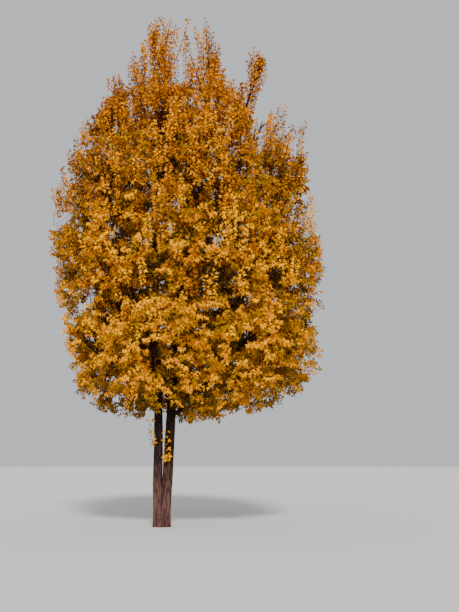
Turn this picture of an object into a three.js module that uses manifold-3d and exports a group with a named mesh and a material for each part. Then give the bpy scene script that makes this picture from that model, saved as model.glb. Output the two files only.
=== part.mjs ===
// A twin-stemmed maple in golden autumn leaf. Two stems rise from one flared foot, boughs leave
// them all round, and each bough ends in an open mass of leafy twigs.
// Millimetres, +Z up, +X to the right of the main view, +Y away from it. The origin is the middle
// of the foot, at ground level. Azimuths turn from +X towards +Y, as seen from above.
import * as THREE from "three";
import { mergeVertices } from "three/addons/utils/BufferGeometryUtils.js";
import Module from "manifold-3d";

const wasm = await Module();
wasm.setup();

const CLEARANCE = 0.3; // between two limbs that meet
const LEAF_CLEARANCE = 3; // between a leaf and what it doesn't grow from
const UP = new THREE.Vector3(0, 0, 1);

// Foot: one cross-section of two stems grown together, from the ground to the fork
const FORK_HEIGHT = 950;
const FOOT_HALF_WIDTH = 178; // across both stems, at the ground
const FORK_HALF_WIDTH = 210; // the same where they part
const FOOT_WAIST = 150; // half depth of the furrow between them, at the ground
const FORK_WAIST = 34; // the same where they part
const FLARE = 24; // how far the foot spreads at the ground
const FLARE_HEIGHT = 170;
const ROOT_TOES = 5;
const TOE_SIZE = 0.07; // of the foot's reach
const FOOT_SIDES = 24;
const FOOT_RINGS = 8;

// Stems: the radius at the foot, x and y of the foot, the two handles and the tip of a Bezier
// curve, and its top height
const STEM_FOOT_SUNK = 60; // how far below the fork its curve starts, before it is cut level
const STEM_TIP_RADIUS = 20;
const STEM_TAPER = 1.3; // above 1, a stem stays thick for longer
const STEM_SIDES = 10;
const STEM_RINGS = 12;
const STEMS = {
  left: {
    radius: 97, foot: [-104, 0], low: [-20, -10], high: [-470, -300], tip: [-60, -320], top: 9750,
  },
  right: {
    radius: 107, foot: [113, 0], low: [215, 40], high: [420, 240], tip: [860, 330], top: 9720,
  },
};

// Boughs
const BOUGH_RADIUS = 33;
const BOUGH_RADIUS_PER_METRE = 9; // a longer bough is thicker at its root
const BOUGH_TIP_SHARE = 0.5; // of its root's radius
const BOUGH_SIDES = 5;
const BOUGH_RINGS = 4;
const BOUGH_ENTRY = 0.6; // where it ends, on the way from a mass's middle to its skin

// Outline of the crown: where it ends to the left, to the right and in depth, at each height
const CROWN_OUTLINE = [
  { height: 2300, left: -1000, right: 1500, depth: 1000 },
  { height: 2700, left: -1850, right: 2900, depth: 2150 },
  { height: 3300, left: -2350, right: 3650, depth: 2800 },
  { height: 4300, left: -2550, right: 3800, depth: 3050 },
  { height: 5500, left: -2700, right: 3800, depth: 3100 },
  { height: 6800, left: -2800, right: 3700, depth: 3000 },
  { height: 8000, left: -2600, right: 3550, depth: 2700 },
  { height: 8900, left: -2250, right: 3450, depth: 2300 },
  { height: 9400, left: -1950, right: 3350, depth: 1950 },
  { height: 9700, left: -1750, right: 2850, depth: 1700 },
  { height: 9950, left: -1650, right: 2050, depth: 1550 },
  { height: 10400, left: -1400, right: 1700, depth: 1300 },
  { height: 10900, left: -850, right: 1500, depth: 1100 },
  { height: 11500, left: -600, right: 1250, depth: 800 },
  { height: 12050, left: -380, right: 1050, depth: 400 },
];

// Tiers of foliage: the size of each mass, how strongly its twigs turn upwards, and for each mass
// the azimuth it grows at and the height at which its bough leaves the stem
const TIERS = [
  { tier: "low", height: 3550, radius: 1400, halfHeight: 1280, lift: 0.05, colour: "gold",
    boughs: [[15, 2420], [85, 2800], [145, 2950], [200, 2500], [265, 2750], [325, 2620]] },
  { tier: "middle", height: 5550, radius: 1490, halfHeight: 1400, lift: 0.15, colour: "gold",
    boughs: [[0, 3600], [55, 3950], [118, 4150], [180, 3750], [238, 3950], [302, 3780]] },
  { tier: "high", height: 7450, radius: 1480, halfHeight: 1450, lift: 0.3, colour: "amber",
    boughs: [[4, 5150], [75, 5900], [145, 5800], [215, 5550], [286, 5500]] },
  { tier: "upper", height: 9000, radius: 1170, halfHeight: 1400, lift: 0.55, colour: "amber",
    boughs: [[3, 6300], [88, 7600], [176, 7500], [272, 7250]] },
];
// A slim plume that stands out of the crown, with a space of its own
const SPIRE = { name: "foliage_spire", bough: "bough_spire", stem: "right", rootHeight: 7000,
  middle: [2110, 100, 10350], radius: 330, halfHeight: 1050, lift: 0.7, pairs: 4,
  colour: "russet" };
// Masses on the tips of the two stems, and how far above the tip the middle of each one is
const CROWN_TOPS = [
  { stem: "left", name: "foliage_top_left", above: 880, radius: 800, halfHeight: 1400, lift: 0.8,
    colour: "russet" },
  { stem: "right", name: "foliage_top_right", above: 880, radius: 860, halfHeight: 1400, lift: 0.8,
    colour: "russet" },
];
const CROWN_MIDDLE = 500; // its middle line, to the right of the foot
const MASS_PLACE = 0.58; // of the crown's reach, where the middle of a mass is
const HEIGHT_JITTER = 190;
const SIZE_JITTER = 0.07;
const SIDES_OF_THE_CROWN = [
  "right", "back_right", "back", "back_left", "left", "front_left", "front", "front_right",
];

// Leafy shoots on the bare stems: the stem, where the shoot leaves it and how it grows
const SHOOTS = [
  { name: "shoot_left", stem: "left", height: 1720, azimuth: 225, length: 560, lean: 0.17 },
  { name: "shoot_right", stem: "right", height: 1400, azimuth: 262, length: 640, lean: 0.14 },
];
const SHOOT_RADIUS = 11;
const SHOOT_LEAF = 140;
const SHOOT_PAIRS = 2;

// Twigs and leaves. Maples bear both in opposite pairs, each pair at right angles to the last.
const TWIG_SIDES = 3;
const AXIS_RADIUS = 25; // of the middle twig of a mass, at its root
const AXIS_TIP_SHARE = 0.75;
const SIDE_TWIG_RADIUS = 10.5;
const TWIG_TIP_SHARE = 0.8;
const TWIG_PAIRS = 6;
const PAIR_STARTS = 0.12; // the first pair's place along a mass's axis
const PAIR_ENDS = 0.93;
const TWIG_SPREAD = 68; // degrees from the axis
const TWIG_SPREAD_AT_TIP = 40;
const LEAF_NODE = 0.78; // of the way along a side twig, where its pair of leaves grows
const LEAF_SPREAD = 74; // degrees from the side twig
const LEAF_HANG = 0.9; // how strongly the leaf at a twig's tip turns down
const SIDE_LEAF_HANG = 0.3;
const TWIG_SHORTER = 0.12; // by up to this share of a leaf
const LEAF_TURNS = [0, 35, -35]; // degrees round the twig that a leaf is tried at
const LEAF_SIZES = [1.2, 1, 0.84, 0.7, 0.56]; // each is tried where a larger one has no room
const LEAF_PER_RADIUS = 0.5; // a leaf's length, from its mass's radius
const LEAF_LENGTH = 150;
const LEAF_WIDTH_SHARE = 0.96;
const LEAF_WIDEST = 0.42; // of the way from its root to its tip
const LEAF_FOLD_SHARE = 0.026; // how far its two edges fall below the midrib
const LEAF_ROOT_SUNK = 2;

const COLOURS = {
  bark: { color: 0x4a3632, roughness: 0.95 },
  gold: { color: 0xe0981c, roughness: 0.7 },
  amber: { color: 0xc98220, roughness: 0.7 },
  russet: { color: 0xb0641f, roughness: 0.75 },
};

const radians = THREE.MathUtils.degToRad;
const mix = THREE.MathUtils.lerp;

// Numbers from 0 to 1, the same ones for the same seed.
function seeded(seed) {
  let state = seed >>> 0;
  return () => {
    state = (state + 0x6d2b79f5) >>> 0;
    let t = state;
    t = Math.imul(t ^ (t >>> 15), t | 1);
    t ^= t + Math.imul(t ^ (t >>> 7), t | 61);
    return ((t ^ (t >>> 14)) >>> 0) / 4294967296;
  };
}

// Solids

function solidOf(geometry) {
  const bare = geometry.clone();
  bare.deleteAttribute("normal");
  bare.deleteAttribute("uv");
  const merged = mergeVertices(bare, 1e-3);
  return new wasm.Manifold(
    new wasm.Mesh({
      numProp: 3,
      vertProperties: merged.attributes.position.array,
      triVerts: new Uint32Array(merged.index.array),
    }),
  );
}

// The largest piece of a solid, so that loose scraps and sealed hollows go.
function mainPiece(solid) {
  return solid.decompose().reduce((a, b) => (b.volume() > a.volume() ? b : a));
}

function nodeOf(name, solid, colour) {
  const made = solid.getMesh();
  const geometry = new THREE.BufferGeometry();
  geometry.setAttribute("position", new THREE.BufferAttribute(made.vertProperties, 3));
  geometry.setIndex(new THREE.BufferAttribute(made.triVerts, 1));
  geometry.computeVertexNormals();
  const mesh = new THREE.Mesh(geometry, new THREE.MeshStandardMaterial(COLOURS[colour]));
  mesh.name = name;
  return mesh;
}

// A closed loft through rings of points, each ring the same number of points, with flat ends.
function loft(rings) {
  const sides = rings[0].length;
  const positions = rings.flat().flatMap((p) => [p.x, p.y, p.z]);
  const faces = [];
  for (let r = 0; r + 1 < rings.length; r++) {
    for (let k = 0; k < sides; k++) {
      const a = r * sides + k;
      const b = r * sides + ((k + 1) % sides);
      faces.push(a, b, b + sides, a, b + sides, a + sides);
    }
  }
  const last = (rings.length - 1) * sides;
  for (let k = 1; k + 1 < sides; k++) {
    faces.push(0, k + 1, k, last, last + k, last + k + 1);
  }
  const geometry = new THREE.BufferGeometry();
  geometry.setAttribute("position", new THREE.Float32BufferAttribute(positions, 3));
  geometry.setIndex(faces);
  return solidOf(geometry);
}

// A tapering round limb along a curve. grown makes it thicker all round.
function limb({ curve, radius, sides, rings }, grown = 0) {
  const circles = [];
  let across = new THREE.Vector3(1, 0, 0);
  for (let i = 0; i < rings; i++) {
    const t = i / (rings - 1);
    const along = curve.getTangent(t);
    const middle = curve.getPoint(t);
    const other = new THREE.Vector3().crossVectors(along, across).normalize();
    across = new THREE.Vector3().crossVectors(other, along).normalize();
    const circle = [];
    for (let k = 0; k < sides; k++) {
      const angle = (2 * Math.PI * k) / sides;
      circle.push(
        middle
          .clone()
          .addScaledVector(across, Math.cos(angle) * (radius(t) + grown))
          .addScaledVector(other, Math.sin(angle) * (radius(t) + grown)),
      );
    }
    circles.push(circle);
  }
  return loft(circles);
}

// Foot and stems

function footSolid() {
  const rings = [];
  for (let i = 0; i <= FOOT_RINGS; i++) {
    const height = FORK_HEIGHT * (i / FOOT_RINGS) ** 1.5;
    const spread = Math.exp(-height / FLARE_HEIGHT);
    const rise = height / FORK_HEIGHT;
    const wide = mix(FOOT_HALF_WIDTH, FORK_HALF_WIDTH, rise) + FLARE * spread;
    const waist = mix(FOOT_WAIST, FORK_WAIST, rise) + FLARE * spread;
    const ring = [];
    for (let k = 0; k < FOOT_SIDES; k++) {
      const angle = (2 * Math.PI * k) / FOOT_SIDES;
      const toes = 1 + TOE_SIZE * spread * Math.cos(ROOT_TOES * angle + 0.6);
      const reach = Math.hypot(wide * Math.cos(angle), waist * Math.sin(angle)) * toes;
      ring.push(new THREE.Vector3(reach * Math.cos(angle), reach * Math.sin(angle), height));
    }
    rings.push(ring);
  }
  return loft(rings);
}

function stemOf({ radius, foot, low, high, tip, top }) {
  const start = FORK_HEIGHT - STEM_FOOT_SUNK;
  const curve = new THREE.CubicBezierCurve3(
    new THREE.Vector3(...foot, start),
    new THREE.Vector3(...low, mix(start, top, 1 / 3)),
    new THREE.Vector3(...high, mix(start, top, 2 / 3)),
    new THREE.Vector3(...tip, top),
  );
  return {
    curve,
    radius: (t) => mix(radius, STEM_TIP_RADIUS, t ** STEM_TAPER),
    sides: STEM_SIDES,
    rings: STEM_RINGS,
    share: (height) => (height - start) / (top - start),
  };
}

// Masses: where each one is, and the bough that carries it

function massesOf(stems) {
  const draw = seeded(11);
  const masses = [];
  for (const t of TIERS) {
    const crown = crownAt(t.height);
    for (const [azimuth, rootHeight] of t.boughs) {
      const size = 1 + SIZE_JITTER * (2 * draw() - 1);
      const lift = HEIGHT_JITTER * (2 * draw() - 1);
      const turn = radians(azimuth);
      const [c, s] = [Math.cos(turn), Math.sin(turn)];
      const radius = t.radius * size;
      const across = MASS_PLACE * (c > 0 ? crown.right : -crown.left);
      const side = SIDES_OF_THE_CROWN[Math.round(azimuth / 45) % 8];
      const stem = c < -0.1 || (Math.abs(c) <= 0.1 && s < 0) ? "left" : "right";
      masses.push({
        name: `foliage_${t.tier}_${side}`,
        bough: `bough_${t.tier}_${side}`,
        middle: new THREE.Vector3(across * c, MASS_PLACE * crown.depth * s, t.height + lift),
        radius,
        halfHeight: t.halfHeight * size,
        outward: new THREE.Vector3(c, s, 0),
        rootHeight,
        lift: t.lift,
        stem,
        colour: t.colour,
      });
    }
  }
  const spireMiddle = new THREE.Vector3(...SPIRE.middle);
  masses.push({ ...SPIRE, middle: spireMiddle, outward: new THREE.Vector3(1, 0, 0), slim: true });
  for (const top of CROWN_TOPS) {
    const tip = stems[top.stem].curve.getPoint(1);
    masses.push({
      ...top,
      middle: tip.clone().addScaledVector(UP, top.above),
      outward: new THREE.Vector3(top.stem === "left" ? -1 : 1, 0, 0),
    });
  }
  return masses;
}

// The crown's outline at one height, or nothing under and over it.
function crownAt(height) {
  const above = CROWN_OUTLINE.findIndex((row) => row.height > height);
  if (above <= 0) return null;
  const [a, b] = [CROWN_OUTLINE[above - 1], CROWN_OUTLINE[above]];
  const share = (height - a.height) / (b.height - a.height);
  return {
    left: mix(a.left, b.left, share),
    right: mix(a.right, b.right, share),
    depth: mix(a.depth, b.depth, share),
  };
}

// How far a point is inside the crown. Negative outside.
function depthInCrown(point) {
  const crown = crownAt(point.z);
  if (!crown) return -1;
  const half = (crown.right - crown.left) / 2;
  const across = (point.x - crown.left) / half - 1;
  return (1 - Math.hypot(across, point.y / crown.depth)) * Math.min(half, crown.depth);
}

// How far a point is inside a mass's own space, which is the part of the crown that lies nearer
// to it than to its neighbours. A slim mass keeps to an ellipsoid instead. Negative outside.
function depthInSpace(point, mass, masses) {
  const from = point.clone().sub(mass.middle);
  const span = Math.hypot(from.x / mass.radius, from.y / mass.radius, from.z / mass.halfHeight);
  let depth = mass.slim ? (1 - span) * mass.radius : depthInCrown(point);
  for (const other of masses) {
    if (other === mass) continue;
    const apart = other.middle.clone().sub(mass.middle);
    const distance = apart.length();
    const share = (distance ** 2 + mass.radius ** 2 - other.radius ** 2) / (2 * distance ** 2);
    const wall = share * distance - from.dot(apart) / distance;
    depth = Math.min(depth, wall - LEAF_CLEARANCE);
  }
  return depth;
}

// The distance from a point to the skin of its mass's space, going one way.
function reachIn(point, way, mass, masses) {
  let near = 0;
  let far = 4 * mass.halfHeight;
  for (let i = 0; i < 14; i++) {
    const middle = (near + far) / 2;
    const inside = depthInSpace(point.clone().addScaledVector(way, middle), mass, masses) > 0;
    if (inside) near = middle;
    else far = middle;
  }
  return near;
}

function boughOf(mass, stems, masses) {
  const stem = stems[mass.stem];
  const rootShare = stem.share(mass.rootHeight);
  const root = stem.curve.getPoint(rootShare);
  const back = root.clone().sub(mass.middle).normalize();
  const inside = reachIn(mass.middle, back, mass, masses);
  const round = 1 / Math.hypot(back.x / mass.radius, back.y / mass.radius, back.z / mass.halfHeight);
  const tip = mass.middle.clone().addScaledVector(back, BOUGH_ENTRY * Math.min(inside, round));
  const length = root.distanceTo(tip);
  const straight = tip.clone().sub(root).normalize();
  const leaving = straight.clone().addScaledVector(mass.outward, 0.15).normalize();
  const arriving = straight.clone().addScaledVector(UP, 0.3).normalize();
  const curve = new THREE.CubicBezierCurve3(
    root,
    root.clone().addScaledVector(leaving, length * 0.35),
    tip.clone().addScaledVector(arriving, -length * 0.3),
    tip,
  );
  const thick = Math.min(
    BOUGH_RADIUS + (BOUGH_RADIUS_PER_METRE * length) / 1000,
    0.66 * stem.radius(rootShare),
  );
  const collar = (t) => 1 + 0.3 * Math.exp((-t * length) / 160);
  return {
    curve,
    radius: (t) => thick * mix(1, BOUGH_TIP_SHARE, t) * collar(t),
    sides: BOUGH_SIDES,
    rings: BOUGH_RINGS,
  };
}

// Twigs and leaves of one mass

// A spray of leaves, as one thin blade folded along its midrib.
function leafSolid(root, along, face, length) {
  const across = new THREE.Vector3().crossVectors(face, along).normalize();
  const normal = new THREE.Vector3().crossVectors(along, across).normalize();
  const at = (l, w, h) =>
    root
      .clone()
      .addScaledVector(along, l)
      .addScaledVector(across, w)
      .addScaledVector(normal, h);
  const half = (length * LEAF_WIDTH_SHARE) / 2;
  const widest = length * LEAF_WIDEST;
  const fold = -length * LEAF_FOLD_SHARE;
  const points = [
    at(-LEAF_ROOT_SUNK, 0, 0),
    at(length, 0, 0),
    at(widest, half, fold),
    at(widest, -half, fold),
  ];
  const geometry = new THREE.BufferGeometry().setFromPoints(points);
  geometry.setIndex([0, 1, 2, 0, 3, 1, 0, 2, 3, 1, 3, 2]);
  return { solid: solidOf(geometry), points };
}

function twigSolid(from, way, length) {
  const curve = new THREE.LineCurve3(from, from.clone().addScaledVector(way, length));
  const radius = (t) => SIDE_TWIG_RADIUS * mix(1, TWIG_TIP_SHARE, t);
  return limb({ curve, radius, sides: TWIG_SIDES, rings: 2 });
}

// A direction turned away from along by spread degrees, towards the side given by turn.
function branching(along, turn, spread) {
  const flat = Math.abs(along.z) < 0.9 ? UP : new THREE.Vector3(1, 0, 0);
  const side = new THREE.Vector3().crossVectors(flat, along).normalize();
  side.applyAxisAngle(along, turn);
  return along
    .clone()
    .multiplyScalar(Math.cos(radians(spread)))
    .addScaledVector(side, Math.sin(radians(spread)))
    .normalize();
}

// The axis of a mass runs on from its limb's tip, past the middle, to near the far skin.
function massAxis(mass, masses) {
  const start = mass.limb.curve.getPoint(1);
  const way = mass.limb.curve.getTangent(1);
  start.addScaledVector(way, CLEARANCE);
  const aim = mass.middle
    .clone()
    .addScaledVector(mass.outward, 0.3 * mass.radius)
    .addScaledVector(UP, 0.35 * mass.halfHeight)
    .sub(start)
    .normalize();
  const leaf = leafLength(mass);
  const length = Math.max(reachIn(start, aim, mass, masses) - leaf, leaf);
  const curve = new THREE.CubicBezierCurve3(
    start,
    start.clone().addScaledVector(way, length * 0.35),
    start.clone().addScaledVector(aim, length * 0.75),
    start.clone().addScaledVector(aim, length),
  );
  const radius = (t) => AXIS_RADIUS * mix(1, AXIS_TIP_SHARE, t);
  return { curve, length, radius, sides: TWIG_SIDES, rings: 4 };
}

function leafLength(mass) {
  return LEAF_LENGTH + LEAF_PER_RADIUS * mass.radius;
}

// A leaf's way from its twig's way: it hangs, less so where the twigs of the mass turn upwards.
function hangingWay(way, mass, share) {
  return way.clone().addScaledVector(UP, -share * (1 - mass.lift)).normalize();
}

// The way a leaf's face is turned: out of the crown and a little up, shaken.
function outwardFace(root, draw) {
  const shake = new THREE.Vector3(draw() - 0.5, draw() - 0.5, draw() - 0.5);
  const outward = new THREE.Vector3(root.x - CROWN_MIDDLE, root.y, 0).normalize();
  return outward.addScaledVector(UP, 0.35).addScaledVector(shake, 0.7).normalize();
}

// Side twigs, in pairs along the axis of a mass, each as long as leaves room for its last leaf.
function sideTwigs(mass, masses, draw) {
  const leaf = leafLength(mass);
  const twigs = [];
  const pairs = mass.pairs ?? TWIG_PAIRS;
  for (let pair = 0; pair < pairs; pair++) {
    const t = mix(PAIR_STARTS, PAIR_ENDS, pair / (pairs - 1));
    const from = mass.axis.curve.getPoint(t);
    const along = mass.axis.curve.getTangent(t);
    for (const side of [0, Math.PI]) {
      const turn = side + (pair * Math.PI) / 2 + 0.5 * (draw() - 0.5);
      const spread = mix(TWIG_SPREAD, TWIG_SPREAD_AT_TIP, t) + 16 * (draw() - 0.5);
      const way = branching(along, turn, spread).addScaledVector(UP, mass.lift).normalize();
      const hung = hangingWay(way, mass, LEAF_HANG);
      const leafTip = from.clone().addScaledVector(hung, leaf);
      const length =
        Math.min(reachIn(from, way, mass, masses), reachIn(leafTip, way, mass, masses)) -
        leaf * TWIG_SHORTER * draw();
      twigs.push({ from, way, length, pair });
    }
  }
  return twigs;
}

function massSolid(mass, masses, obstacles, seed) {
  const draw = seeded(seed);
  const leaf = leafLength(mass);
  const apart = (solid, others) => others.every((o) => solid.minGap(o, 50) > LEAF_CLEARANCE);

  const { axis, axisSolid } = mass;
  const twigs = sideTwigs(mass, masses, draw).filter((twig) => {
    twig.bare = twig.length < leaf * 0.2;
    twig.solid = twig.bare ? axisSolid : twigSolid(twig.from, twig.way, twig.length);
    return twig.bare || apart(twig.solid, obstacles);
  });
  const wood = [axisSolid, ...twigs.filter((twig) => !twig.bare).map((twig) => twig.solid)];
  const leaves = [];

  // A leaf that hangs a little. It is tried turned or smaller where the space is short.
  function addLeaf(root, way, face, hang, twig) {
    const otherWood = wood.filter((w) => w !== twig.solid);
    const others = leaves.filter((l) => l.root !== root).map((l) => l.solid);
    for (const size of LEAF_SIZES) {
      for (const turn of LEAF_TURNS) {
        const turned = way.clone().applyAxisAngle(twig.way, radians(turn));
        const along = hangingWay(turned, mass, hang);
        const { solid, points } = leafSolid(root, along, face, leaf * size);
        const kept =
          points.every((p) => depthInSpace(p, mass, masses) > 0) &&
          apart(solid, obstacles) &&
          apart(solid, otherWood) &&
          apart(solid, others);
        if (kept) {
          leaves.push({ solid, root });
          return true;
        }
      }
    }
    return false;
  }

  for (const twig of twigs) {
    const end = twig.bare ? 0 : twig.length - 2 * LEAF_ROOT_SUNK;
    const root = twig.from.clone().addScaledVector(twig.way, end);
    twig.leafyTip = addLeaf(root, twig.way, outwardFace(root, draw), LEAF_HANG, twig);
  }
  for (const twig of twigs) {
    if (twig.bare) continue;
    const node = twig.from.clone().addScaledVector(twig.way, twig.length * LEAF_NODE);
    const face = outwardFace(node, draw);
    for (const side of [1, -1]) {
      const across = new THREE.Vector3().crossVectors(twig.way, face).setLength(side);
      const way = twig.way.clone().multiplyScalar(Math.cos(radians(LEAF_SPREAD)));
      way.addScaledVector(across, Math.sin(radians(LEAF_SPREAD)));
      const grown = addLeaf(node, way, face, SIDE_LEAF_HANG, twig);
      twig.leafyNode ||= grown;
    }
  }
  const tip = { solid: axisSolid, way: axis.curve.getTangent(1) };
  const last = axis.curve.getPoint(0.99);
  addLeaf(last, tip.way, outwardFace(last, draw), 0, tip);

  // A twig goes no further than its last leaf.
  const kept = [axisSolid];
  for (const { from, way, length, bare, solid, leafyTip, leafyNode } of twigs) {
    if (bare) continue;
    if (leafyTip) kept.push(solid);
    else if (leafyNode) kept.push(twigSolid(from, way, length * (LEAF_NODE + 0.03)));
  }
  return mainPiece(wasm.Manifold.union([...kept, ...leaves.map((l) => l.solid)]));
}

// A thin leafy shoot that leaves a bare stem and grows up beside it.
function shootSolid(shoot, stem, grownStem) {
  const t = stem.share(shoot.height);
  const turn = radians(shoot.azimuth);
  const outward = new THREE.Vector3(Math.cos(turn), Math.sin(turn), 0);
  const root = stem.curve.getPoint(t).addScaledVector(outward, stem.radius(t) * 0.6);
  const out = root.clone().addScaledVector(outward, stem.radius(t) * 0.4 + 70);
  const way = UP.clone().addScaledVector(outward, shoot.lean).normalize();
  const bend = out.clone().addScaledVector(UP, 60);
  const tip = bend.clone().addScaledVector(way, shoot.length);
  const curve = new THREE.CubicBezierCurve3(root, out, bend, tip);
  const twig = { curve, radius: (s) => SHOOT_RADIUS * mix(1, 0.6, s), sides: TWIG_SIDES, rings: 5 };
  const parts = [limb(twig).subtract(grownStem)];
  for (let pair = 0; pair < SHOOT_PAIRS; pair++) {
    const s = mix(0.45, 0.85, pair / (SHOOT_PAIRS - 1));
    for (const side of [0, Math.PI]) {
      const leafWay = branching(curve.getTangent(s), side + (pair * Math.PI) / 2, 60);
      leafWay.addScaledVector(outward, 0.4).normalize();
      parts.push(leafSolid(curve.getPoint(s), leafWay, UP, SHOOT_LEAF).solid);
    }
  }
  parts.push(leafSolid(curve.getPoint(0.99), way, outward, SHOOT_LEAF).solid);
  return mainPiece(wasm.Manifold.union(parts));
}

// The whole tree

function buildTree() {
  const tree = new THREE.Group();
  tree.add(nodeOf("trunk", footSolid(), "bark"));

  const stems = {};
  const grown = {};
  const limbs = [];
  for (const [name, sizes] of Object.entries(STEMS)) {
    stems[name] = stemOf(sizes);
    grown[name] = limb(stems[name], CLEARANCE * 1.2);
    const solid = limb(stems[name]).trimByPlane([0, 0, 1], FORK_HEIGHT + CLEARANCE);
    limbs.push(solid);
    tree.add(nodeOf(`stem_${name}`, solid, "bark"));
  }

  const masses = massesOf(stems);
  for (const mass of masses) {
    if (!mass.bough) {
      mass.limb = stems[mass.stem];
      continue;
    }
    mass.limb = boughOf(mass, stems, masses);
    const solid = mainPiece(limb(mass.limb).subtract(grown[mass.stem]));
    limbs.push(solid);
    tree.add(nodeOf(mass.bough, solid, "bark"));
  }

  for (const mass of masses) {
    mass.axis = massAxis(mass, masses);
    mass.axisSolid = limb(mass.axis);
  }
  masses.forEach((mass, i) => {
    const otherAxes = masses.filter((other) => other !== mass).map((other) => other.axisSolid);
    const solid = massSolid(mass, masses, [...limbs, ...otherAxes], i + 1);
    tree.add(nodeOf(mass.name, solid, mass.colour));
  });

  for (const shoot of SHOOTS) {
    const solid = shootSolid(shoot, stems[shoot.stem], grown[shoot.stem]);
    tree.add(nodeOf(shoot.name, solid, "gold"));
  }
  return tree;
}

export default buildTree();
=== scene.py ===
# A twin-stemmed maple in golden autumn leaf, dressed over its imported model. Bark in relief stands
# for the foot, the stems and the boughs. Finer twigs and leaves, grown on from the same limbs by
# the model's own rule, stand for its masses of foliage.
# Metres, +Z up, +X to the right of the main view, +Y away from it. The origin is the middle of
# the foot, at ground level. Azimuths turn from +X towards +Y, as seen from above.
import math
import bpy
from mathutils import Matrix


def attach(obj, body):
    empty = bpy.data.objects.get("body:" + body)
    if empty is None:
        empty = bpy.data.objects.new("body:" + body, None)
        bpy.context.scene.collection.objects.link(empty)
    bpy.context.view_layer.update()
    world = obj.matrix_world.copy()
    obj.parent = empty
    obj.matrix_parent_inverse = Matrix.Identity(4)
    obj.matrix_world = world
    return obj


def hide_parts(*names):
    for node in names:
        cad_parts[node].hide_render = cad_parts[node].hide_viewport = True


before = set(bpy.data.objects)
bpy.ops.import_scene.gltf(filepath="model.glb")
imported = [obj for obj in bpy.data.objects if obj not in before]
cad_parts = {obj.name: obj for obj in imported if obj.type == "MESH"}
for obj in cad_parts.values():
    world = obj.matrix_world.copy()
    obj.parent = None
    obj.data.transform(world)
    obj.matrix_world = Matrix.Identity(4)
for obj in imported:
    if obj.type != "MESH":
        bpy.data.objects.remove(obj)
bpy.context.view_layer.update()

from types import SimpleNamespace

import bpy
import numpy as np
from mathutils import Vector, noise

UP = np.array([0.0, 0.0, 1.0])
RIGHT = np.array([1.0, 0.0, 0.0])

# Camera, floor and light
CAMERA_PLACE = (1.483, -19.1, 1.458)
CAMERA_PITCH = math.radians(10.2)
LENS_MM = 50
SENSOR_HEIGHT_MM = 36
CAMERA_CLIP_END = 500
FLOOR_RADIUS = 150
FLOOR_SIDES = 96
FLOOR_COLOUR = "#cfcdc8"
FLOOR_ROUGHNESS = 0.95
SKY_COLOUR = "#e9ebf0"
SKY_STRENGTH = 0.78
KEY_FROM = (0.1, -1.0, 0.65)
KEY_STRENGTH = 4.3
KEY_SOFTNESS = math.radians(10)
FILL_FROM = (-0.5, -1.0, 0.2)
FILL_STRENGTH = 1.0
FILL_SOFTNESS = math.radians(60)

# Foot: one cross-section of two stems grown together, from the ground to where they part
FORK_HEIGHT = 0.95
CROTCH_HEIGHT = 1.05  # where the last web of bark between the stems ends
CROTCH_TUCK = 0.08  # how far the web draws in, so that it ends inside the stems
FOOT_HALF_WIDTH = 0.178
FORK_HALF_WIDTH = 0.216
FORK_SHIFT = 0.009  # to the side of the thicker stem
FOOT_WAIST = 0.150
FORK_WAIST = 0.034
FLARE = 0.024
FLARE_HEIGHT = 0.17
ROOT_TOES = 5
TOE_SIZE = 0.07
TOES_TURNED = 0.6
FOOT_SIDES = 180
FOOT_RINGS = 100

# Stems: the radius at the foot, x and y of the foot, the two handles and the tip of a Bezier
# curve, and its top height
STEM_FOOT_SUNK = 0.06
STEM_TIP_RADIUS = 0.02
STEM_TAPER = 1.3
STEM_SIDES = 48
STEM_RING_STEP = 0.036
STEMS = {
    "left": SimpleNamespace(
        radius=0.097, foot=(-0.104, 0), low=(-0.02, -0.01), high=(-0.47, -0.3),
        tip=(-0.06, -0.32), top=9.75,
    ),
    "right": SimpleNamespace(
        radius=0.107, foot=(0.113, 0), low=(0.215, 0.04), high=(0.42, 0.24),
        tip=(0.86, 0.33), top=9.72,
    ),
}

# Boughs
BOUGH_RADIUS = 0.033
BOUGH_RADIUS_PER_METRE = 0.009
BOUGH_OF_STEM = 0.66  # at most, of the stem's radius
BOUGH_TIP_SHARE = 0.5
COLLAR = 0.3  # how much thicker it is at its root
COLLAR_LENGTH = 0.16
BOUGH_SIDES = 16
BOUGH_RING_STEP = 0.06
BOUGH_ENTRY = 0.6  # where it ends, on the way from a mass's middle to its skin
BOUGH_LEAVES_OUTWARD = 0.15
BOUGH_ARRIVES_UPWARD = 0.3
BOUGH_HANDLES = (0.35, 0.3)  # of its curve, as shares of its length

# Outline of the crown: the height, and where it ends to the left, to the right and in depth
CROWN_OUTLINE = np.array([
    (2.3, -1.0, 1.5, 1.0),
    (2.7, -1.85, 2.9, 2.15),
    (3.3, -2.35, 3.65, 2.8),
    (4.3, -2.55, 3.8, 3.05),
    (5.5, -2.7, 3.8, 3.1),
    (6.8, -2.8, 3.7, 3.0),
    (8.0, -2.6, 3.55, 2.7),
    (8.9, -2.25, 3.45, 2.3),
    (9.4, -1.95, 3.35, 1.95),
    (9.7, -1.75, 2.85, 1.7),
    (9.95, -1.65, 2.05, 1.55),
    (10.4, -1.4, 1.7, 1.3),
    (10.9, -0.85, 1.5, 1.1),
    (11.5, -0.6, 1.25, 0.8),
    (12.05, -0.38, 1.05, 0.4),
])

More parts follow.
